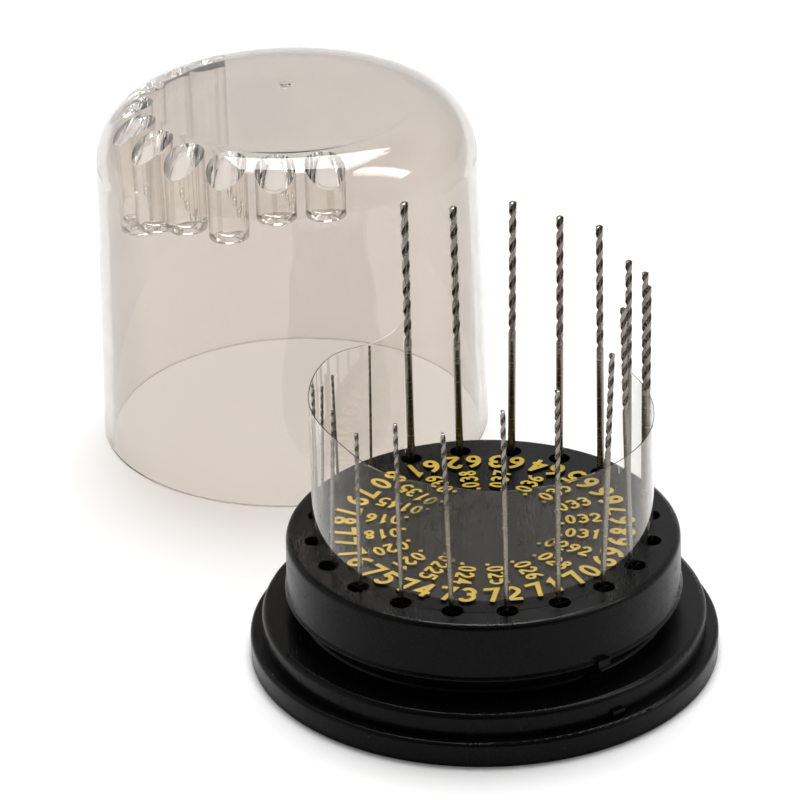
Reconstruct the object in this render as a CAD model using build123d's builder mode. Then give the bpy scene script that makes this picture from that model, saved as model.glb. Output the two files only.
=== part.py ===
from build123d import *
import os
from math import asin, cos, degrees, radians, sin

# Round index stand for the twenty wire-gauge twist drills 61 to 80.
# Millimetres, +Z up. The origin is the centre of the stand's underside, on the table.

# --- stand -------------------------------------------------------------------
disc_height = 16.2  # top face of the disc above the table
drum_radius = 24.05
drum_draft = 0.12
drum_bottom = 8.75
drum_edge_round = 0.75
lip_width = 0.2  # rounded lip round the drum's lower edge
lip_height = 0.35
neck_radius = 22.3
ledge_height = 6.1  # the dome's rim stands here
ledge_radius = 27.3
ledge_round = 0.75
neck_foot_round = 0.5
flange_height = 3.1
flange_radius = 28.85
flange_round = 0.5
small_round = 0.2

flange_wall = 2.6  # moulded hollow on the underside
ledge_thickness = 2.4
neck_wall = 2.0
ring_wall = 5.6
disc_thickness = 2.4
post_radius = 3.2  # moulded centre post under the disc, down to the table

centre_ring_radius = 6.2  # plain raised ring in the middle of the disc
centre_ring_width = 0.3
centre_ring_relief = 0.08

# --- sockets and drills --------------------------------------------------------
first_number = 61
drill_count = 20
first_hole_angle = 114.3  # drill 61, anticlockwise from +X; the numbers run clockwise
hole_pitch = 360 / drill_count
hole_circle = 20.55
hole_radius = 1.34
hole_depth = 5.7
parting_angle = first_hole_angle + hole_pitch / 2  # mould parting line, between 61 and 80
nib_length = 1.7
nib_width = 0.45
nib_height = 0.9

# number: (diameter, height of the point above the disc, fluted length)
drill_sizes = {
    61: (0.991, 35.5, 20.5),
    62: (0.965, 34.0, 20.0),
    63: (0.940, 34.6, 20.0),
    64: (0.914, 33.5, 19.0),
    65: (0.889, 33.9, 19.0),
    66: (0.838, 31.7, 17.5),
    67: (0.813, 32.9, 17.5),
    68: (0.787, 34.0, 17.5),
    69: (0.742, 34.0, 16.5),
    70: (0.711, 30.0, 14.5),
    71: (0.660, 27.8, 12.5),
    72: (0.635, 26.1, 11.5),
    73: (0.610, 23.2, 10.0),
    74: (0.572, 23.4, 8.5),
    75: (0.533, 20.4, 7.5),
    76: (0.508, 20.8, 7.0),
    77: (0.457, 21.2, 6.5),
    78: (0.406, 18.1, 6.0),
    79: (0.368, 16.7, 5.0),
    80: (0.343, 17.8, 5.0),
}
loose_drills = (61, 62, 63, 64, 65)  # they stand in the guard's gap
# number: how far the point leans from above the shank's end, in x and y
drill_leans = {
    61: (-0.2, 0),
    62: (-0.4, 0),
    63: (0.5, 0),
    64: (0.15, 0),
    65: (-0.3, 0),
    66: (-0.1, 0),
    67: (-0.2, 0),
    69: (-1.15, 0),
    70: (1.3, 1.2),
    72: (-0.25, 0.1),
    73: (-0.85, 0.25),
    74: (-0.4, 0.3),
    76: (0.75, 0),
    78: (0.7, 0),
    79: (-0.35, -0.65),
    80: (0.3, 0),
}
point_angle = 118
flute_pitch = 5.4  # times the drill's diameter
flute_offset = 0.40  # times the diameter
flute_radius = 0.27  # times the diameter

# --- clear guard ----------------------------------------------------------------
guard_outer = 20.75
guard_wall = 0.25
guard_gap_start = 33.0  # the open part runs from here to guard_gap_end
guard_gap_end = 116.5
guard_clearance = 0.08  # drill to guard
guard_blank = 24.0
# top edge as (x, height above the disc), left to right: a smooth curve, then a straight line
guard_front_edge = ((-21.5, 18.2), (-18.0, 18.5), (-14.5, 17.4), (-9.0, 16.7), (0, 16.0), (21.5, 15.8))
guard_rear_edge = ((-21.5, 18.2), (-18.0, 18.8), (-13.5, 17.7), (-10.8, 18.1), (-9.2, 19.6), (21.5, 15.8))

# --- dome cover, set down beside the stand ------------------------------------
dome_centre = (-24.1, 62.9)
dome_turn = -9.0  # how far it is turned from where it fits over the drills
dome_height = 47.6
dome_rim_radius = 26.55
dome_top_radius = 25.5
dome_shoulder = 8.2
dome_wall = 1.25
stub_circle = 20.2
stub_radius = 2.6
stub_recess_radius = 1.2
stub_recess_depth = 1.0
# first and last drill of each length group, and the stub's lower end above the rim
stub_groups = ((71, 72, 39.2), (73, 74, 36.3), (75, 75, 34.6), (76, 77, 31.7), (78, 80, 29.0))
gate_radius = 0.7
gate_height = 0.25
gate_offset = 5.0

# --- numerals -------------------------------------------------------------------
numeral_relief = 0.3
stroke = 0.185  # stroke width, times the height of the figure
size_height = 3.2
size_spacing = 2.5
size_circle = 17.0
decimal_height = 2.2
decimal_spacing = 1.55
decimal_last = 13.9  # middle of the last figure
point_dot = 0.13

decimals = {
    61: ".039", 62: ".038", 63: ".037", 64: ".036", 65: ".035",
    66: ".033", 67: ".032", 68: ".031", 69: ".0292", 70: ".028",
    71: ".026", 72: ".025", 73: ".024", 74: ".0225", 75: ".021",
    76: ".020", 77: ".018", 78: ".016", 79: ".0145", 80: ".0135",
}

# Figures one unit high and centred: rings are (x, y, half width, half height).
figure_rings = {
    "0": ((0, 0, 0.29, 0.5),),
    "6": ((0, -0.2, 0.29, 0.3),),
    "8": ((0, 0.24, 0.24, 0.26), (0, -0.22, 0.29, 0.28)),
    "9": ((0, 0.2, 0.29, 0.3),),
}
figure_lines = {
    "1": (((-0.17, 0.28), (0, 0.44), (0, -0.5)),),
    "2": (((-0.2, -0.43), (0.29, -0.43)),),
    "4": (((0.1, -0.5), (0.1, 0.5)), ((0.1, 0.42), (-0.22, -0.16), (0.29, -0.16))),
    "5": (((0.24, 0.43), (-0.17, 0.43), (-0.2, 0.04)),),
    "7": (((-0.28, 0.43), (0.23, 0.43), (-0.08, -0.5)),),
}
figure_curves = {
    "2": (((-0.22, 0.22), (0.0, 0.43), (0.2, 0.2), (0.0, -0.16), (-0.2, -0.43)),),
    "3": (
        ((-0.22, 0.3), (0.0, 0.43), (0.19, 0.24), (-0.06, 0.04)),
        ((-0.06, 0.06), (0.22, -0.18), (0.0, -0.43), (-0.24, -0.28)),
    ),
    "5": (((-0.2, 0.04), (0.06, 0.12), (0.22, -0.14), (0.04, -0.42), (-0.22, -0.34)),),
    "6": (((0.2, 0.43), (-0.1, 0.2), (-0.215, -0.2)),),
    "9": (((-0.2, -0.43), (0.1, -0.2), (0.215, 0.2)),),
}


def hole_angle(number):
    return first_hole_angle - hole_pitch * (number - first_number)


def on_circle(radius, angle, height=0.0):
    return (radius * cos(radians(angle)), radius * sin(radians(angle)), height)


def drill_circle(number):
    """Radius at which a drill stands: in the gap mid-hole, elsewhere against the guard's inside."""
    diameter = drill_sizes[number][0]
    against_guard = guard_outer - guard_wall - guard_clearance - diameter / 2
    return hole_circle if number in loose_drills else against_guard


def near(points, x, y):
    return points.sort_by_distance((x, y, 0))[0]


def make_base():
    """The one-piece moulded stand: flange, ledge, neck, drum and disc over a hollow underside."""
    flange_in = flange_radius - flange_wall
    roof_under = ledge_height - ledge_thickness
    neck_in = neck_radius - neck_wall
    ring_in = drum_radius - ring_wall
    lip_radius = drum_radius + drum_draft + lip_width
    with BuildPart() as base:
        with BuildSketch(Plane.XZ) as profile:
            with BuildLine():
                Polyline(
                    (flange_in, 0),
                    (flange_radius, 0),
                    (flange_radius, flange_height),
                    (ledge_radius, flange_height),
                    (ledge_radius, ledge_height),
                    (neck_radius, ledge_height),
                    (neck_radius, drum_bottom),
                    (lip_radius, drum_bottom),
                    (lip_radius, drum_bottom + lip_height),
                    (drum_radius + drum_draft, drum_bottom + 2 * lip_height),
                    (drum_radius, disc_height),
                    (0, disc_height),
                    (0, 0),
                    (post_radius, 0),
                    (post_radius, disc_height - disc_thickness),
                    (ring_in, disc_height - disc_thickness),
                    (ring_in, drum_bottom),
                    (neck_in, drum_bottom),
                    (neck_in, roof_under),
                    (flange_in, roof_under),
                    close=True,
                )
            make_face()
            fillet(near(profile.vertices(), drum_radius, disc_height), drum_edge_round)
            fillet(near(profile.vertices(), ledge_radius, ledge_height), ledge_round)
            fillet(near(profile.vertices(), flange_radius, flange_height), flange_round)
            fillet(near(profile.vertices(), neck_radius, ledge_height), neck_foot_round)
            fillet(near(profile.vertices(), lip_radius, drum_bottom), small_round)
            fillet(near(profile.vertices(), flange_radius, 0), small_round)
        revolve(axis=Axis.Z)
        with BuildSketch(Plane.XY.offset(disc_height)):
            Circle(centre_ring_radius)
            Circle(centre_ring_radius - centre_ring_width, mode=Mode.SUBTRACT)
        extrude(amount=centre_ring_relief)
        with Locations((0, 0, disc_height)):
            with PolarLocations(hole_circle, drill_count, start_angle=first_hole_angle):
                Cylinder(
                    hole_radius,
                    hole_depth,
                    align=(Align.CENTER, Align.CENTER, Align.MAX),
                    mode=Mode.SUBTRACT,
                )
        for radius, height in (
            (lip_radius, drum_bottom + nib_height / 4),
            (neck_radius + neck_foot_round, ledge_height + nib_height / 4),
            (ledge_radius, flange_height + nib_height / 2),
        ):
            for angle in (parting_angle, parting_angle + 180):
                with Locations(Location(on_circle(radius, angle, height), (0, 0, angle))):
                    Box(nib_width * 2, nib_length, nib_height)
    base.part.label = "base_body"
    return base


def figure(character, height):
    """One numeral as a flat shape, centred, of the given height."""
    with BuildSketch(mode=Mode.PRIVATE) as shape:
        rings = figure_rings.get(character, ())
        for x, y, half_width, half_height in rings:
            with Locations((x, y)):
                Ellipse(half_width, half_height)
        for x, y, half_width, half_height in rings:
            with Locations((x, y)):
                Ellipse(half_width - stroke, half_height - stroke, mode=Mode.SUBTRACT)
        for points in figure_lines.get(character, ()):
            with BuildLine() as straight:
                Polyline(*points)
            trace(straight.line, line_width=stroke)
        for points in figure_curves.get(character, ()):
            with BuildLine() as curved:
                Spline(*points)
            trace(curved.line, line_width=stroke)
        if character == ".":
            with Locations((0, -0.5 + point_dot)):
                Circle(point_dot)
    return scale(shape.sketch, by=height, mode=Mode.PRIVATE)


def place_figure(shape, x, y, turn):
    add(shape.moved(Location((x, y, 0), (0, 0, turn))))


def make_size_numbers():
    """The numbers 61 to 80, tops towards the centre."""
    shapes = {c: figure(c, size_height) for c in "0123456789"}
    with BuildPart() as numbers:
        with BuildSketch(Plane.XY.offset(disc_height)):
            for number in drill_sizes:
                angle = hole_angle(number)
                x, y, _ = on_circle(size_circle, angle)
                for side, character in zip((-0.5, 0.5), str(number)):
                    along = side * size_spacing
                    dx, dy, _ = on_circle(along, angle + 90)
                    place_figure(shapes[character], x + dx, y + dy, angle + 90)
        extrude(amount=numeral_relief)
    numbers.part.label = "size_numbers"
    return numbers


def make_decimal_sizes():
    """Each drill's diameter in inches, read outwards from the centre."""
    shapes = {c: figure(c, decimal_height) for c in "0123456789."}
    with BuildPart() as numbers:
        with BuildSketch(Plane.XY.offset(disc_height)):
            for number, text in decimals.items():
                angle = hole_angle(number)
                for place, character in enumerate(reversed(text)):
                    shift = 0.25 if character == "." else 0
                    radius = decimal_last - (place - shift) * decimal_spacing
                    x, y, _ = on_circle(radius, angle)
                    place_figure(shapes[character], x, y, angle)
        extrude(amount=numeral_relief)
    numbers.part.label = "decimal_sizes"
    return numbers


def make_drill(number):
    """A two-flute twist drill, shank down in its socket, point up."""
    diameter, point_height, fluted = drill_sizes[number]
    x, y, _ = on_circle(drill_circle(number), hole_angle(number))
    butt = disc_height - hole_depth
    point = disc_height + point_height
    flute_start = point - fluted
    cone = diameter / 2 / tan_degrees(point_angle / 2)
    with BuildPart() as drill:
        with BuildSketch(Plane.XY.offset(flute_start)):
            with Locations((x, y)):
                Circle(diameter / 2)
                with PolarLocations(flute_offset * diameter, 2, start_angle=hole_angle(number)):
                    Circle(flute_radius * diameter, mode=Mode.SUBTRACT)
        with BuildLine() as spine:
            Line((x, y, flute_start), (x, y, point))
        with BuildLine() as guide:
            Helix(flute_pitch * diameter, fluted, diameter / 2, center=(x, y, flute_start))
        sweep(path=spine.wire(), binormal=guide.edge())
        with Locations((x, y, butt)):
            Cylinder(diameter / 2, flute_start - butt, align=(Align.CENTER, Align.CENTER, Align.MIN))
        with BuildSketch(Plane.XZ.offset(-y)):
            with BuildLine():
                Polyline(
                    (x, point),
                    (x + diameter, point - 2 * cone),
                    (x + diameter, point + 1),
                    (x, point + 1),
                    close=True,
                )
            make_face()
        revolve(axis=Axis((x, y, 0), (0, 0, 1)), mode=Mode.SUBTRACT)
    lean = drill_leans.get(number, (0, 0))
    drill.part = leaned(drill.part, diameter / 2, (x, y, butt), lean, point - butt)
    drill.part.label = f"drill_{number}"
    return drill


def leaned(part, radius, foot, lean, length):
    """The part turned about its foot, so that its point moves by lean in x and y."""
    turn = (-degrees(asin(lean[1] / length)), degrees(asin(lean[0] / length)), 0)
    rise = radius * (abs(lean[0]) + abs(lean[1])) / length  # keeps the shank's end above the socket's floor
    back = Location((-foot[0], -foot[1], -foot[2]))
    return part.moved(Location((foot[0], foot[1], foot[2] + rise)) * Location((0, 0, 0), turn) * back)


def tan_degrees(angle):
    return sin(radians(angle)) / cos(radians(angle))


def above_edge(edge_points):
    """Upright profile of everything above a wavy edge."""
    points = [(x, disc_height + height) for x, height in edge_points]
    top = disc_height + guard_blank + 1
    with BuildSketch(Plane.XZ) as profile:
        with BuildLine():
            Spline(*points[:-1])
            Polyline(points[-2], points[-1], (points[-1][0], top), (points[0][0], top), points[0])
        make_face()
    return profile.sketch


def make_guard():
    """The thin clear C-shaped sleeve that stands on the disc around the drills."""
    reach = 2 * guard_outer
    middle = (guard_gap_start + guard_gap_end) / 2
    with BuildPart() as guard:
        with BuildSketch(Plane.XY.offset(disc_height)):
            Circle(guard_outer)
            Circle(guard_outer - guard_wall, mode=Mode.SUBTRACT)
            with BuildLine():
                Polyline(
                    (0, 0),
                    on_circle(reach, guard_gap_start)[:2],
                    on_circle(reach, middle)[:2],
                    on_circle(reach, guard_gap_end)[:2],
                    close=True,
                )
            make_face(mode=Mode.SUBTRACT)
        extrude(amount=guard_blank)
        extrude(above_edge(guard_front_edge), amount=reach, mode=Mode.SUBTRACT)
        extrude(above_edge(guard_rear_edge), amount=-reach, mode=Mode.SUBTRACT)
    guard.part.label = "clear_guard"
    return guard


def dome_profile(rim, top, shoulder, height):
    """Half section of a dome: a drafted wall, a round shoulder and a flat roof."""
    reach = shoulder * cos(radians(45))
    bend = (top - shoulder + reach, height - shoulder + reach)
    with BuildSketch(Plane.XZ) as profile:
        with BuildLine():
            Polyline((0, 0), (rim, 0), (top, height - shoulder))
            ThreePointArc((top, height - shoulder), bend, (top - shoulder, height))
            Polyline((top - shoulder, height), (0, height), (0, 0))
        make_face()
    return profile.sketch


def stub_angle(number):
    return hole_angle(number) + dome_turn


def dome_solid(inset):
    """The dome as a solid, its outside moved in by the given distance."""
    with BuildPart() as solid:
        revolve(
            dome_profile(
                dome_rim_radius - inset,
                dome_top_radius - inset,
                dome_shoulder - inset,
                dome_height - inset,
            ),
            axis=Axis.Z,
        )
    return solid.part


def make_dome():
    """The clear cover: a thin shell with ten thick stubs that hold down the shorter drills."""
    with BuildPart() as stubs:
        for first, last, lower_end in stub_groups:
            places = [on_circle(stub_circle, stub_angle(n), lower_end) for n in range(first, last + 1)]
            with Locations(*places):
                Cylinder(
                    stub_radius,
                    dome_height - lower_end,
                    align=(Align.CENTER, Align.CENTER, Align.MIN),
                )
                Cylinder(
                    stub_recess_radius,
                    stub_recess_depth,
                    align=(Align.CENTER, Align.CENTER, Align.MIN),
                    mode=Mode.SUBTRACT,
                )
        add(dome_solid(dome_wall / 2), mode=Mode.INTERSECT)
    with BuildPart() as dome:
        add(dome_solid(0))
        add(dome_solid(dome_wall), mode=Mode.SUBTRACT)
        add(stubs.part)
        with Locations((0, gate_offset, dome_height)):
            Cylinder(gate_radius, gate_height, align=(Align.CENTER, Align.CENTER, Align.MIN))
    dome.part = dome.part.moved(Location((dome_centre[0], dome_centre[1], 0)))
    dome.part.label = "dome_cover"
    return dome


os.makedirs("parts", exist_ok=True)
sub_parts = [make_base(), make_size_numbers(), make_decimal_sizes(), make_guard(), make_dome()]
sub_parts += [make_drill(number) for number in drill_sizes]
for sub_part in sub_parts:
    export_step(sub_part.part, f"parts/{sub_part.part.label}.step")
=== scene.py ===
import math

import bpy
import bmesh
from mathutils import Matrix, Vector


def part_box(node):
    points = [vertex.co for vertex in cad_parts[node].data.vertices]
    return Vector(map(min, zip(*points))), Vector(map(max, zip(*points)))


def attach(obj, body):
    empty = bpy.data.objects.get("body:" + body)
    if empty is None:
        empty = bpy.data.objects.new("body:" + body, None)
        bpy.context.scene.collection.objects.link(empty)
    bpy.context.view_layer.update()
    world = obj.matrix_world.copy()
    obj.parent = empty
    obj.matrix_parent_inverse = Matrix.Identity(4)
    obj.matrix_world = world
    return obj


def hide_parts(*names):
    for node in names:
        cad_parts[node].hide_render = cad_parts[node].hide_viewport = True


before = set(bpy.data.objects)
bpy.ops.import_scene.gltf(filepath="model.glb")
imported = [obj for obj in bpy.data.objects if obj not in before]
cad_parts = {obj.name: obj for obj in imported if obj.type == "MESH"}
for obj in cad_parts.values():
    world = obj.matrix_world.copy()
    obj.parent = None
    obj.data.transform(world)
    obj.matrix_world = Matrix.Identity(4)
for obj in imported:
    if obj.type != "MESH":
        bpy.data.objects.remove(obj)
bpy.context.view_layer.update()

MM = 0.001
DRILLS = range(61, 81)
FULL_TURN = 2 * math.pi

# --- sizes that the frame gives -------------------------------------------------
base_low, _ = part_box("base_body")
disc_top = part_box("size_numbers")[0].z
dome_low, dome_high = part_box("dome_cover")
dome_x = (dome_low.x + dome_high.x) / 2
dome_y = (dome_low.y + dome_high.y) / 2

# --- dome, as the CAD has it, in millimetres from the middle of its rim -----------
DOME_RIM = 26.55
DOME_TOP = 25.5
DOME_HEIGHT = 47.6
DOME_SHOULDER = 8.2
DOME_WALL = 1.25
DOME_RIM_ROUND = 0.5
DOME_TURN = -9.0
DOME_SIDES = 240
FIRST_HOLE_ANGLE = 114.3
HOLE_PITCH = 18.0
STUB_CIRCLE = 20.2
STUB_RADIUS = 2.6
STUB_RECESS_RADIUS = 1.2
STUB_RECESS_DEPTH = 1.0
STUB_RECESS_ROUND = 0.3
STUB_LIP = 0.12
STUB_EDGE = 0.35
STUB_SIDES = 72
STUB_GROUPS = ((71, 72, 39.2), (73, 74, 36.3), (75, 75, 34.6), (76, 77, 31.7), (78, 80, 29.0))
GATE_RADIUS = 0.7
GATE_HEIGHT = 0.25
GATE_ROUND = 0.1
GATE_ROOT = 0.4  # how deep the gate mark reaches into the roof
GATE_OFFSET = 5.0

# --- twist drills -----------------------------------------------------------------
FLUTE_PITCH = 5.4  # times the diameter
DRILL_SIDES = 44
POINT_HALF_ANGLE = math.radians(59)
RUN_OUT = 3.0  # diameters over which the flutes fade into the shank
SMALLEST_DRILL = 0.343  # diameter of drill 80, mm
SHORTEST_FLUTES = 5.0  # its flutes' length, mm
FLUTES_PER_SIZE = 23.9  # further flute length for each further mm of diameter
RINGS_PER_TURN = 34
BUTT_CHAMFER = 0.12  # times the diameter
FLUTE_SHARE = 0.52  # share of half a turn that a flute takes
MARGIN_SHARE = 0.3  # share of the land that is full size
RELIEF = 0.03  # the rest of the land is lower by this share of the radius
FLUTE_DEPTH = 0.62  # times the radius, at the shank's end
FLUTE_DEEPENS = 0.08  # more at the point

# --- guard ------------------------------------------------------------------------
GUARD_STEPS = 260
GUARD_LEVELS = 12
GUARD_EDGE = 0.03
GUARD_THIN = 0.5  # share of the CAD's thickness that is drawn, outer side kept


def mesh_piece(name, verts, faces, smooth=True):
    mesh = bpy.data.meshes.new(name)
    mesh.from_pydata([tuple(v) for v in verts], [], faces)
    mesh.validate()
    mesh.polygons.foreach_set("use_smooth", [smooth] * len(mesh.polygons))
    piece = bpy.data.objects.new(name, mesh)
    bpy.context.scene.collection.objects.link(piece)
    return piece


def ring_faces(rings, sides):
    """Quads between consecutive rings of the same number of points."""
    faces = []
    for r in range(rings - 1):
        a, b = r * sides, (r + 1) * sides
        for s in range(sides):
            t = (s + 1) % sides
            faces.append((a + s, a + t, b + t, b + s))
    return faces


def lathe(name, profile, sides, centre):
    """A closed solid turned about Z. The profile runs from the axis to the axis, in millimetres."""
    verts = []
    for radius, height in profile[1:-1]:
        for s in range(sides):
            a = FULL_TURN * s / sides
            verts.append((radius * math.cos(a), radius * math.sin(a), height))
    rings = len(profile) - 2
    faces = ring_faces(rings, sides)
    start, end = len(verts), len(verts) + 1
    verts += [(0, 0, profile[0][1]), (0, 0, profile[-1][1])]
    for s in range(sides):
        t = (s + 1) % sides
        faces.append((start, t, s))
        faces.append((end, (rings - 1) * sides + s, (rings - 1) * sides + t))
    placed = [(centre[0] + x * MM, centre[1] + y * MM, centre[2] + z * MM) for x, y, z in verts]
    return mesh_piece(name, placed, faces)


def arc_points(cx, cz, radius, start, end, count):
    """Points on an arc in the profile plane, angles in degrees."""
    out = []
    for i in range(count + 1):
        a = math.radians(start + (end - start) * i / count)
        out.append((cx + radius * math.cos(a), cz + radius * math.sin(a)))
    return out


def outward(piece):
    """Make the faces of a closed mesh point outwards."""
    bm = bmesh.new()
    bm.from_mesh(piece.data)
    bmesh.ops.recalc_face_normals(bm, faces=bm.faces)
    if bm.calc_volume(signed=True) < 0:
        bmesh.ops.reverse_faces(bm, faces=bm.faces)
    bm.to_mesh(piece.data)
    bm.free()


def union(target, others):
    """Join closed solids into one, exactly, and remove the extra pieces."""
    for other in others:
        cut = target.modifiers.new("join", "BOOLEAN")
        cut.operation = "UNION"
        cut.solver = "EXACT"
        cut.object = other
    graph = bpy.context.evaluated_depsgraph_get()
    mesh = bpy.data.meshes.new_from_object(target.evaluated_get(graph))
    target.modifiers.clear()
    target.data = mesh
    for other in others:
        bpy.data.objects.remove(other)


def soft_edges(piece, angle):
    """Smooth shading, with a hard line only where faces meet at more than the angle."""
    piece.data.polygons.foreach_set("use_smooth", [True] * len(piece.data.polygons))
    piece.data.set_sharp_from_angle(angle=math.radians(angle))


# --- dome ---------------------------------------------------------------------------
def dome_roof(radius, inset):
    """Height of the dome's roof or shoulder at a radius, for a surface moved in by inset."""
    shoulder = DOME_SHOULDER - inset
    edge = DOME_TOP - inset - shoulder
    if radius <= edge:
        return DOME_HEIGHT - inset
    return DOME_HEIGHT - inset - shoulder + math.sqrt(max(shoulder**2 - (radius - edge) ** 2, 0))


def dome_side(inset):
    """Profile of one side of the shell, from the rim to the axis."""
    shoulder = DOME_SHOULDER - inset
    points = []
    for share in [0.02] + [i / 12 for i in range(1, 13)]:
        radius = DOME_RIM - inset + (DOME_TOP - DOME_RIM) * share
        points.append((radius, (DOME_HEIGHT - DOME_SHOULDER) * share))
    points += arc_points(DOME_TOP - inset - shoulder, DOME_HEIGHT - inset - shoulder, shoulder, 0, 90, 20)[1:]
    flat = points[-1][0]
    points += [(flat * share, DOME_HEIGHT - inset) for share in (0.75, 0.5, 0.25)]
    return points


def make_dome_shell():
    rim = DOME_RIM_ROUND
    outer, inner = dome_side(0), dome_side(DOME_WALL)
    inner_rim = DOME_RIM - DOME_WALL
    profile = [(0, DOME_HEIGHT)] + outer[::-1]
    profile += arc_points(DOME_RIM - rim, rim, rim, 0, -90, 4)
    profile += arc_points(inner_rim + rim, rim, rim, -90, -180, 4)
    profile += inner + [(0, DOME_HEIGHT - DOME_WALL)]
    return lathe("dome_shell", profile, DOME_SIDES, (dome_x, dome_y, dome_low.z))


def make_stub(number, lower_end):
    """A thick clear stub from the roof down to one drill's point, with a shallow recess in its end."""
    angle = math.radians(FIRST_HOLE_ANGLE - HOLE_PITCH * (number - DRILLS[0]) + DOME_TURN)
    x, y = STUB_CIRCLE * math.cos(angle), STUB_CIRCLE * math.sin(angle)
    edge, lip, inner = STUB_EDGE, STUB_LIP, STUB_RECESS_ROUND
    recess_top = lower_end + STUB_RECESS_DEPTH
    profile = [(0, recess_top)]
    profile += arc_points(STUB_RECESS_RADIUS - inner, recess_top - inner, inner, 90, 0, 4)
    profile += arc_points(STUB_RECESS_RADIUS + lip, lower_end + lip, lip, 180, 270, 3)
    profile += arc_points(STUB_RADIUS - edge, lower_end + edge, edge, -90, 0, 6)
    fixed = len(profile) - 1
    profile += [(STUB_RADIUS * share, None) for share in (1, 0.8, 0.6, 0.4, 0.2)] + [(0, None)]
    verts, faces = [], []
    for row, (radius, height) in enumerate(profile[1:-1]):
        for s in range(STUB_SIDES):
            a = FULL_TURN * s / STUB_SIDES
            px, py = x + radius * math.cos(a), y + radius * math.sin(a)
            z = dome_roof(math.hypot(px, py), DOME_WALL / 2) if row >= fixed else height
            verts.append((px, py, z))
    rings = len(profile) - 2
    faces = ring_faces(rings, STUB_SIDES)
    start, end = len(verts), len(verts) + 1
    verts.append((x, y, recess_top))
    verts.append((x, y, dome_roof(STUB_CIRCLE, DOME_WALL / 2)))
    for s in range(STUB_SIDES):
        t = (s + 1) % STUB_SIDES
        faces.append((start, s, t))
        faces.append((end, (rings - 1) * STUB_SIDES + t, (rings - 1) * STUB_SIDES + s))
    placed = [(dome_x + px * MM, dome_y + py * MM, dome_low.z + pz * MM) for px, py, pz in verts]
    return mesh_piece(f"stub_{number}", placed, faces)


def shell_normal(x, y, z):
    """The exact direction square to the shell at a point, outwards. Inside and outside share it."""
    radius = max(math.hypot(x, y), 1e-9)
    bend, level = DOME_TOP - DOME_SHOULDER, DOME_HEIGHT - DOME_SHOULDER
    if z <= level:
        draft = math.atan2(DOME_RIM - DOME_TOP, level)
        return Vector((x / radius * math.cos(draft), y / radius * math.cos(draft), math.sin(draft)))
    if radius <= bend:
        return Vector((0, 0, 1))
    out = Vector((radius - bend, z - level)).normalized()
    return Vector((x / radius * out.x, y / radius * out.x, out.y))


SAME_SURFACE = math.cos(math.radians(7))  # a face this close to the shell's direction is the shell's


def true_normals(piece):
    """Give the shell's faces their exact normals, so that the joined stubs don't bend its reflections.

    The other faces are the stubs' own, and take the second material.
    """
    mesh = piece.data
    normals = [Vector(n.vector) for n in mesh.corner_normals]
    inside_wall = (DOME_TOP - DOME_WALL - 0.5) * MM
    under_roof = dome_high.z - (DOME_WALL + 1.0) * MM
    for face in mesh.polygons:
        inside = math.hypot(face.center.x - dome_x, face.center.y - dome_y) < inside_wall
        face.material_index = int(inside and face.center.z < under_roof)
        for corner in face.loop_indices:
            v = mesh.vertices[mesh.loops[corner].vertex_index].co
            exact = shell_normal((v.x - dome_x) / MM, (v.y - dome_y) / MM, (v.z - dome_low.z) / MM)
            if abs(face.normal.dot(exact)) > SAME_SURFACE:
                normals[corner] = exact if face.normal.dot(exact) > 0 else -exact
                face.material_index = 0
    mesh.normals_split_custom_set(normals)


def make_dome():
    shell = make_dome_shell()
    outward(shell)
    extras = [make_stub(n, low) for first, last, low in STUB_GROUPS for n in range(first, last + 1)]
    root, top = DOME_HEIGHT - GATE_ROOT, DOME_HEIGHT + GATE_HEIGHT
    gate = [(0, root), (GATE_RADIUS, root), (GATE_RADIUS, top - GATE_ROUND)]
    gate += [(GATE_RADIUS - GATE_ROUND, top), (0, top)]
    extras.append(lathe("gate", gate, 32, (dome_x, dome_y + GATE_OFFSET * MM, dome_low.z)))
    for extra in extras:
        outward(extra)
    union(shell, extras)
    shell.name = "clear_dome"
    soft_edges(shell, 30)
    true_normals(shell)
    return shell


# --- drills -------------------------------------------------------------------------
def drill_axis(number):
    """Butt centre, point and diameter of a drill, from its CAD mesh."""
    verts = [v.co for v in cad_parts[f"drill_{number}"].data.vertices]
    ordered = sorted(verts, key=lambda v: v.z)
    low, tip = ordered[0], ordered[-1]
    butt = [v for v in verts if v.z < low.z + 0.08 * MM]
    centre = Vector((
        (min(v.x for v in butt) + max(v.x for v in butt)) / 2,
        (min(v.y for v in butt) + max(v.y for v in butt)) / 2,
        low.z,
    ))
    across = max(v.y for v in butt) - min(v.y for v in butt)
    return centre, tip.copy(), across


def section_radius(angle, depth):
    """Radius of a two-flute section as a share of the drill's own: 1 on the lands, less in the flutes."""
    turn = (angle % math.pi) / math.pi  # 0 to 1 across one flute and one land
    if turn >= FLUTE_SHARE:
        land = (turn - FLUTE_SHARE) / (1 - FLUTE_SHARE)
        if land < MARGIN_SHARE:
            return 1.0
        return 1.0 - RELIEF * min(1, (land - MARGIN_SHARE) / 0.1) * min(1, depth * 1.5)
    across = turn / FLUTE_SHARE
    hook = math.sin(math.pi * across ** 0.85) ** 0.85
    return 1.0 - depth * hook


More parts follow.
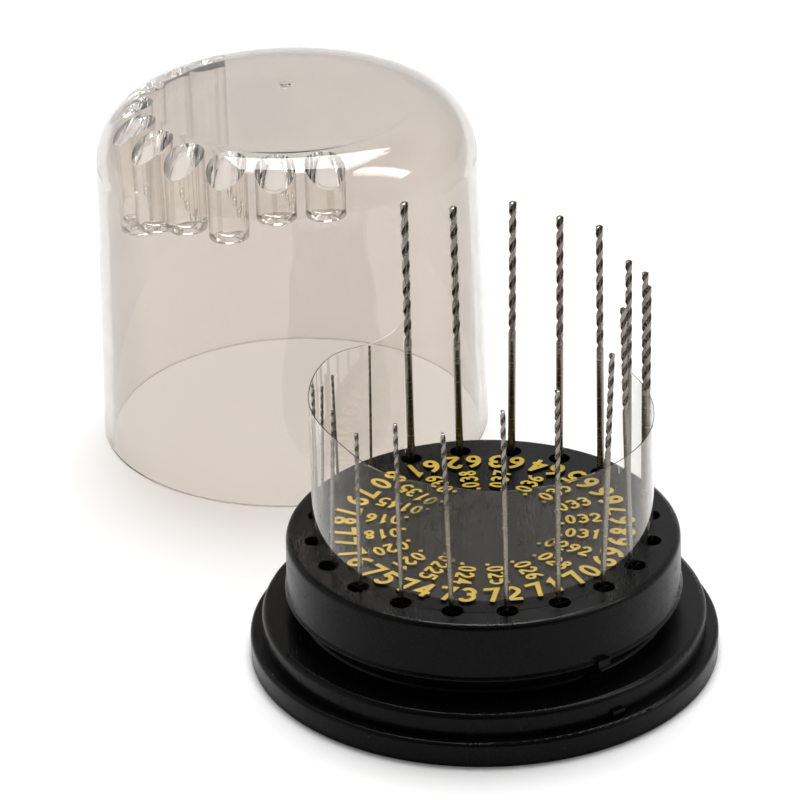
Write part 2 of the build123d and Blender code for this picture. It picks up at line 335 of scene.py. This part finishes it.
def make_drill(number):
    butt, tip, diameter = drill_axis(number)
    radius = diameter / 2
    length = (tip - butt).length
    fluted = (SHORTEST_FLUTES + FLUTES_PER_SIZE * (diameter / MM - SMALLEST_DRILL)) * MM
    pitch = FLUTE_PITCH * diameter
    start = length - fluted
    heights = [0, 0.12 * MM]
    heights += [start * i / 6 for i in range(1, 6)]
    heights.append(start)
    steps = int(fluted / (pitch / RINGS_PER_TURN)) + 1
    heights += [start + fluted * i / steps for i in range(1, steps + 1)]
    chamfer = BUTT_CHAMFER * diameter
    rings = []
    for height in heights:
        share = max(0, min(1, (height - start) / (RUN_OUT * diameter)))
        full_depth = FLUTE_DEPTH + FLUTE_DEEPENS * max(0, (height - start) / fluted)
        depth = full_depth * share * share * (3 - 2 * share)
        scale = radius - (chamfer if height == 0 else 0)
        ring = []
        for s in range(DRILL_SIDES):
            local = FULL_TURN * s / DRILL_SIDES
            r = scale * (section_radius(local, depth) if height > start else 1)
            z = min(height, length - r / math.tan(POINT_HALF_ANGLE))
            turn = local + max(0, FULL_TURN * (z - start) / pitch)
            ring.append((r * math.cos(turn), r * math.sin(turn), z))
        rings.append(ring)
    top = rings[-1]
    for shrink in (0.6, 0.25):
        ring = []
        for px, py, pz in top:
            r = math.hypot(px, py) * shrink
            a = math.atan2(py, px)
            ring.append((r * math.cos(a), r * math.sin(a), length - r / math.tan(POINT_HALF_ANGLE)))
        rings.append(ring)
    verts = [p for ring in rings for p in ring]
    faces = ring_faces(len(rings), DRILL_SIDES)
    start_point, end_point = len(verts), len(verts) + 1
    verts += [(0, 0, 0), (0, 0, length)]
    last = (len(rings) - 1) * DRILL_SIDES
    for s in range(DRILL_SIDES):
        t = (s + 1) % DRILL_SIDES
        faces.append((start_point, t, s))
        faces.append((end_point, last + s, last + t))
    axis = (tip - butt).normalized()
    stand_up = Vector((0, 0, 1)).rotation_difference(axis).to_matrix().to_4x4()
    place = Matrix.Translation(butt) @ stand_up
    piece = mesh_piece(f"twist_drill_{number}", [place @ Vector(v) for v in verts], faces)
    outward(piece)
    soft_edges(piece, 38)
    # painted shade: a darker colour deeper in the flutes and on the point's faces near the axis
    painted_flute_shade = [max(0.0, 1 - math.hypot(x, y) / radius) if start < z else 0.0 for x, y, z in verts]
    piece.data.attributes.new("flute", "FLOAT", "POINT").data.foreach_set("value", painted_flute_shade)
    return piece


# --- guard --------------------------------------------------------------------------
def guard_top_edge():
    """(angle, height) along the guard's wavy top edge, in order round from one end of the gap."""
    verts = [v.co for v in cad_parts["clear_guard"].data.vertices]
    reach = [math.hypot(v.x, v.y) for v in verts]
    outer, inner = max(reach), min(reach)
    edge = {}
    for v in verts:
        if v.z < disc_top + 8 * MM or math.hypot(v.x, v.y) < outer - 0.05 * MM:
            continue
        angle = round(math.degrees(math.atan2(v.y, v.x)) % 360, 2)
        edge[angle] = max(edge.get(angle, 0), v.z)
    found = sorted(edge.items())
    gaps = [(found[i][0] - found[i - 1][0]) % 360 for i in range(len(found))]
    first = gaps.index(max(gaps))
    ordered = found[first:] + [(a + 360, z) for a, z in found[:first]]
    return outer, inner, ordered


def height_at(edge, angle):
    for (a, za), (b, zb) in zip(edge, edge[1:]):
        if a <= angle <= b:
            return za + (zb - za) * (angle - a) / max(b - a, 1e-9)
    return edge[-1][1] if angle > edge[-1][0] else edge[0][1]


def make_guard():
    """The clear C-shaped sheet: a loop round its thin section, swept from one end of the gap to the other."""
    outer, inner, edge = guard_top_edge()
    inner = outer - (outer - inner) * GUARD_THIN
    first, last = edge[0][0], edge[-1][0]
    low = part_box("clear_guard")[0].z
    round_off = GUARD_EDGE * MM
    loops = []
    for i in range(GUARD_STEPS + 1):
        angle = first + (last - first) * i / GUARD_STEPS
        top = height_at(edge, angle)
        heights = [low + round_off, low + 2 * round_off]
        heights += [low + (top - low) * k / GUARD_LEVELS for k in range(1, GUARD_LEVELS)]
        heights += [top - 2 * round_off, top - round_off]
        loop = [(inner + round_off, low), (outer - round_off, low)]
        loop += [(outer, z) for z in heights]
        loop += [(outer - round_off, top), (inner + round_off, top)]
        loop += [(inner, z) for z in reversed(heights)]
        a = math.radians(angle)
        loops.append([(r * math.cos(a), r * math.sin(a), z) for r, z in loop])
    count = len(loops[0])
    verts = [p for loop in loops for p in loop]
    faces = ring_faces(len(loops), count)
    faces.append(tuple(range(count)))
    faces.append(tuple((len(loops) - 1) * count + k for k in range(count))[::-1])
    piece = mesh_piece("clear_sleeve", verts, faces)
    outward(piece)
    soft_edges(piece, 50)
    return piece


def dress_cut_edges(piece, cut, foot):
    """Other materials on the sheet's edges: cut on the top and the two upright ends, foot underneath."""
    piece.data.materials.append(cut)
    piece.data.materials.append(foot)
    for face in piece.data.polygons:
        middle = face.center
        radial = Vector((middle.x, middle.y, 0)).normalized()
        if abs(face.normal.dot(radial)) < 0.8:
            face.material_index = 1 if face.normal.z > -0.5 else 2


# --- materials ------------------------------------------------------------------------
def new_material(name):
    material = bpy.data.materials.new(name)
    material.use_nodes = True
    tree = material.node_tree
    tree.nodes.clear()
    output = tree.nodes.new("ShaderNodeOutputMaterial")
    shader = tree.nodes.new("ShaderNodeBsdfPrincipled")
    tree.links.new(shader.outputs[0], output.inputs["Surface"])
    return material, tree, shader, output


def noise(tree, scale, detail=4, roughness=0.5, stretch=(1, 1, 1)):
    place = tree.nodes.new("ShaderNodeTexCoord")
    mapping = tree.nodes.new("ShaderNodeMapping")
    mapping.inputs["Scale"].default_value = stretch
    texture = tree.nodes.new("ShaderNodeTexNoise")
    texture.inputs["Scale"].default_value = scale
    texture.inputs["Detail"].default_value = detail
    texture.inputs["Roughness"].default_value = roughness
    tree.links.new(place.outputs["Object"], mapping.inputs["Vector"])
    tree.links.new(mapping.outputs[0], texture.inputs["Vector"])
    return texture.outputs["Fac"]


def spread(tree, value, low, high, out_low, out_high):
    """Stretch a value from one range to another."""
    node = tree.nodes.new("ShaderNodeMapRange")
    node.inputs["From Min"].default_value = low
    node.inputs["From Max"].default_value = high
    node.inputs["To Min"].default_value = out_low
    node.inputs["To Max"].default_value = out_high
    tree.links.new(value, node.inputs["Value"])
    return node.outputs[0]


def maths(tree, operation, a, b=None):
    node = tree.nodes.new("ShaderNodeMath")
    node.operation = operation
    for socket, value in zip(node.inputs, (a, b)):
        if isinstance(value, (int, float)):
            socket.default_value = value
        elif value is not None:
            tree.links.new(value, socket)
    return node.outputs[0]


def mix_colour(tree, share, first, second):
    node = tree.nodes.new("ShaderNodeMix")
    node.data_type = "RGBA"
    tree.links.new(share, node.inputs[0])
    for socket, colour in ((node.inputs[6], first), (node.inputs[7], second)):
        if isinstance(colour, tuple):
            socket.default_value = (*colour, 1)
        else:
            tree.links.new(colour, socket)
    return node.outputs[2]


def bump(tree, shader, value, strength, distance):
    node = tree.nodes.new("ShaderNodeBump")
    node.inputs["Strength"].default_value = strength
    node.inputs["Distance"].default_value = distance
    tree.links.new(value, node.inputs["Height"])
    tree.links.new(node.outputs[0], shader.inputs["Normal"])


def black_plastic():
    """Glossy black styrene with faint flow marks, handling scratches and dust."""
    material, tree, shader, _ = new_material("black_styrene")
    haze = noise(tree, 60, 3)
    dust = noise(tree, 2600, 2, 0.6)
    specks = spread(tree, dust, 0.66, 0.74, 0, 1)
    shade = mix_colour(tree, haze, (0.0012, 0.0013, 0.0016), (0.0028, 0.0027, 0.0030))
    dusty = maths(tree, "MULTIPLY", specks, 0.35)
    colour = mix_colour(tree, dusty, shade, (0.022, 0.022, 0.021))
    tree.links.new(colour, shader.inputs["Base Color"])
    scratches = noise(tree, 900, 5, 0.7, (1, 0.12, 1))
    smooth = spread(tree, haze, 0.3, 0.7, 0.2, 0.3)
    rubbed = spread(tree, scratches, 0.5, 0.8, 0, 0.12)
    tree.links.new(maths(tree, "ADD", smooth, rubbed), shader.inputs["Roughness"])
    shader.inputs["Specular IOR Level"].default_value = 0.09
    bump(tree, shader, noise(tree, 350, 3), 0.10, 0.0002)
    return material


def gold_foil():
    """Black figures with gold foil on their tops, worn thin in places, more so towards the centre."""
    material, tree, shader, _ = new_material("gold_foil")
    geometry = tree.nodes.new("ShaderNodeNewGeometry")
    parts = tree.nodes.new("ShaderNodeSeparateXYZ")
    tree.links.new(geometry.outputs["Normal"], parts.inputs[0])
    upward = spread(tree, parts.outputs["Z"], 0.6, 0.8, 0, 1)
    place = tree.nodes.new("ShaderNodeTexCoord")
    where = tree.nodes.new("ShaderNodeSeparateXYZ")
    tree.links.new(place.outputs["Object"], where.inputs[0])
    flat = tree.nodes.new("ShaderNodeCombineXYZ")
    tree.links.new(where.outputs["X"], flat.inputs["X"])
    tree.links.new(where.outputs["Y"], flat.inputs["Y"])
    reach = tree.nodes.new("ShaderNodeVectorMath")
    reach.operation = "LENGTH"
    tree.links.new(flat.outputs[0], reach.inputs[0])
    outer = spread(tree, reach.outputs["Value"], 0.0072, 0.0125, 0.28, 0.9)
    wear = noise(tree, 700, 4, 0.65)
    kept = spread(tree, maths(tree, "SUBTRACT", outer, wear), -0.08, 0.1, 0.08, 1)
    share = maths(tree, "MULTIPLY", kept, upward)
    tone = noise(tree, 420, 3)
    gold = mix_colour(tree, tone, (0.36, 0.24, 0.014), (0.53, 0.385, 0.034))
    colour = mix_colour(tree, share, (0.006, 0.006, 0.006), gold)
    tree.links.new(colour, shader.inputs["Base Color"])
    tree.links.new(spread(tree, share, 0, 1, 0, 0.35), shader.inputs["Metallic"])
    tree.links.new(spread(tree, wear, 0.3, 0.7, 0.34, 0.5), shader.inputs["Roughness"])
    shader.inputs["Specular IOR Level"].default_value = 0.3
    return material


def clear_plastic(name, tint, painted_edge_shade, shade, gloss, haze, index):
    """Clear plastic: glass for what the eye sees, and a plain tint (shade) for light that casts shadows.

    Seen edge on, the colour is darkened from tint towards a darker colour: painted shade at grazing views,
    not absorption in the wall. Gloss tints its reflections, haze is the roughness that handling leaves in
    patches, and index bends the light.
    """
    material, tree, shader, output = new_material(name)
    slant = tree.nodes.new("ShaderNodeLayerWeight")
    slant.inputs["Blend"].default_value = 0.5  # plain facing ratio
    # painted shade: the colour darkens as the surface turns edge on to the view
    edge_shade_share = spread(tree, slant.outputs["Facing"], 0.42, 0.78, 0, 1)
    tree.links.new(mix_colour(tree, edge_shade_share, tint, painted_edge_shade), shader.inputs["Base Color"])
    shader.inputs["Transmission Weight"].default_value = 1.0
    shader.inputs["IOR"].default_value = index
    shader.inputs["Specular Tint"].default_value = (*gloss, 1)
    smear = noise(tree, 130, 4, 0.6)
    tree.links.new(spread(tree, smear, 0.4, 0.75, 0, haze), shader.inputs["Roughness"])
    bump(tree, shader, noise(tree, 90, 2), 0.05, 0.0004)
    through = tree.nodes.new("ShaderNodeBsdfTransparent")
    through.inputs["Color"].default_value = (*shade, 1)
    path = tree.nodes.new("ShaderNodeLightPath")
    seen = shader.outputs[0]
    for kind in ("Is Shadow Ray", "Is Diffuse Ray"):
        mix = tree.nodes.new("ShaderNodeMixShader")
        tree.links.new(path.outputs[kind], mix.inputs[0])
        tree.links.new(seen, mix.inputs[1])
        tree.links.new(through.outputs[0], mix.inputs[2])
        seen = mix.outputs[0]
    tree.links.new(seen, output.inputs["Surface"])
    return material


def lightened_cut_edge():
    """The sheared edge of the sheet: faintly white, half clear; partly the cut's frosting, partly painted
    light that hides the dark line the thin edge shows in shading.
    """
    material, tree, shader, _ = new_material("cut_edge")
    grain = noise(tree, 500, 3)
    colour = mix_colour(tree, grain, (0.62, 0.61, 0.58), (0.82, 0.81, 0.78))
    tree.links.new(colour, shader.inputs["Base Color"])
    shader.inputs["Roughness"].default_value = 0.5
    shader.inputs["Alpha"].default_value = 0.12
    return material


def drill_steel():
    """Ground high-speed steel: fine rings round the shank, a little oil colour, and painted shade that
    darkens the flutes and the point.
    """
    material, tree, shader, _ = new_material("drill_steel")
    oil = noise(tree, 260, 3)
    ground = mix_colour(tree, oil, (0.205, 0.187, 0.157), (0.31, 0.288, 0.256))
    depth = tree.nodes.new("ShaderNodeAttribute")
    depth.attribute_name = "flute"
    flute_shade_share = spread(tree, depth.outputs["Fac"], 0.04, 0.35, 0, 1)
    # painted shade in the flutes and on the point, read from the flute attribute
    tree.links.new(mix_colour(tree, flute_shade_share, ground, (0.128, 0.109, 0.087)), shader.inputs["Base Color"])
    shader.inputs["Metallic"].default_value = 1.0
    grind = noise(tree, 1500, 3, 0.6, (0.15, 0.15, 3))
    tree.links.new(spread(tree, grind, 0.3, 0.7, 0.16, 0.3), shader.inputs["Roughness"])
    bump(tree, shader, grind, 0.04, 0.00002)
    return material


def floor_material():
    material, tree, shader, _ = new_material("table_top")
    grain = noise(tree, 40, 3)
    colour = mix_colour(tree, grain, (0.90, 0.90, 0.90), (0.92, 0.92, 0.92))
    tree.links.new(colour, shader.inputs["Base Color"])
    shader.inputs["Roughness"].default_value = 0.6
    shader.inputs["Specular IOR Level"].default_value = 0.2
    return material


def dress(piece, material, second=None):
    kinds = [face.material_index for face in piece.data.polygons]
    piece.data.materials.clear()
    piece.data.materials.append(material)
    if second:
        piece.data.materials.append(second)
        piece.data.polygons.foreach_set("material_index", kinds)


# --- the object -------------------------------------------------------------------------
black = black_plastic()
gold = gold_foil()
steel = drill_steel()

for node, material in (("base_body", black), ("size_numbers", gold), ("decimal_sizes", gold)):
    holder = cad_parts[node]
    for index in range(len(holder.material_slots)):
        holder.material_slots[index].material = material

dome = make_dome()
wall_clear = clear_plastic(
    "clear_styrene",
    tint=(0.75, 0.706, 0.661),
    painted_edge_shade=(0.50, 0.47, 0.44),
    shade=(0.86, 0.84, 0.82),
    gloss=(0.80, 0.76, 0.72),
    haze=0.03,
    index=1.5,
)
# the thick stubs: a near-white tint, lighter than the wall's, is painted light for their bright glints, and
# the dark edge colour is painted shade for their dark streaks
stub_painted_clear = clear_plastic(
    "clear_styrene_thick",
    tint=(1, 0.99, 0.97),
    painted_edge_shade=(0.36, 0.34, 0.32),
    shade=(0.95, 0.94, 0.93),
    gloss=(1, 1, 1),
    haze=0.02,
    index=1.5,
)
dress(dome, wall_clear, stub_painted_clear)
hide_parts("dome_cover")
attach(dome, "dome")

guard = make_guard()
film = clear_plastic(
    "clear_film",
    tint=(0.95, 0.935, 0.91),
    painted_edge_shade=(0.88, 0.86, 0.83),
    shade=(0.97, 0.965, 0.96),
    gloss=(0.90, 0.80, 0.68),
    haze=0.0,
    index=1.34,
)
dress(guard, film)
# the whitish cut edge is partly painted light, hiding the dark line of the edge's shading
dress_cut_edges(guard, lightened_cut_edge(), black)
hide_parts("clear_guard")
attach(guard, "guard")

for number in DRILLS:
    drill = make_drill(number)
    dress(drill, steel)
    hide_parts(f"drill_{number}")
    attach(drill, f"drill_{number}_body")


# --- floor, light and camera ---------------------------------------------------------------
CAMERA_PLACE = (-9.73, -406.19, 237.3)
CAMERA_TILT = 63.4  # degrees, then rolled about its own axis
CAMERA_ROLL = -1.358
CAMERA_LENS = 170.7


def make_floor():
    reach = 3.0
    corners = [(-reach, -reach, 0), (reach, -reach, 0), (reach, reach, 0), (-reach, reach, 0)]
    floor = mesh_piece("floor", corners, [(0, 1, 2, 3)], smooth=False)
    floor.data.materials.append(floor_material())
    floor.location.z = base_low.z


def area_light(name, place, aim, size, power):
    data = bpy.data.lights.new(name, "AREA")
    data.shape = "RECTANGLE"
    data.size, data.size_y = size
    data.energy = power
    lamp = bpy.data.objects.new(name, data)
    bpy.context.scene.collection.objects.link(lamp)
    lamp.location = place
    lamp.rotation_euler = (Vector(aim) - Vector(place)).to_track_quat("-Z", "Y").to_euler()
    return lamp


def even_light(name, place, aim, spread_degrees, strength):
    """Soft light from far away, so that the whole table is lit alike. It makes no highlights of its own."""
    data = bpy.data.lights.new(name, "SUN")
    data.angle = math.radians(spread_degrees)
    data.energy = strength
    lamp = bpy.data.objects.new(name, data)
    bpy.context.scene.collection.objects.link(lamp)
    lamp.location = place
    lamp.rotation_euler = (Vector(aim) - Vector(place)).to_track_quat("-Z", "Y").to_euler()
    lamp.visible_glossy = False


make_floor()
even_light("overhead", (0.04, 0.30, 0.75), (0, 0.02, 0), 32, 2.8)
softbox = area_light("softbox_top", (0.04, 0.30, 0.75), (0, 0.02, 0), (0.50, 0.38), 6.8)
softbox.visible_diffuse = False  # it draws the highlights, and the even light does the rest
strip = area_light("strip_right", (0.52, 0.0, 0.60), (0, 0.03, 0.02), (0.12, 0.50), 2.4)
strip.visible_diffuse = False  # it draws the bar on the dome's shoulder, and casts no shadow to the left

world = bpy.data.worlds.new("studio")
world.use_nodes = True
tree = world.node_tree
direction = tree.nodes.new("ShaderNodeTexCoord")
height = tree.nodes.new("ShaderNodeSeparateXYZ")
tree.links.new(direction.outputs["Generated"], height.inputs[0])
# bright walls, and a darker ceiling round the softbox
sky = spread(tree, height.outputs["Z"], 0.55, 0.8, 0.88, 0.30)
room = spread(tree, height.outputs["Y"], -0.75, -0.25, 0.12, 1)  # the camera's side of the room is dim
tree.links.new(maths(tree, "MULTIPLY", sky, room), tree.nodes["Background"].inputs["Strength"])
tree.nodes["Background"].inputs["Color"].default_value = (1, 1, 1, 1)
scene = bpy.context.scene
scene.world = world
scene.cycles.max_bounces = 32
scene.cycles.transmission_bounces = 32
scene.cycles.glossy_bounces = 16
scene.view_settings.view_transform = "Standard"

camera_data = bpy.data.cameras.new("camera")
camera_data.sensor_width = 36
camera_data.lens = CAMERA_LENS
camera_data.clip_start = 0.01
camera = bpy.data.objects.new("camera", camera_data)
scene.collection.objects.link(camera)
camera.matrix_world = (
    Matrix.Translation(Vector(CAMERA_PLACE) * MM)
    @ Matrix.Rotation(math.radians(CAMERA_TILT), 4, "X")
    @ Matrix.Rotation(math.radians(CAMERA_ROLL), 4, "Z")
)
scene.camera = camera
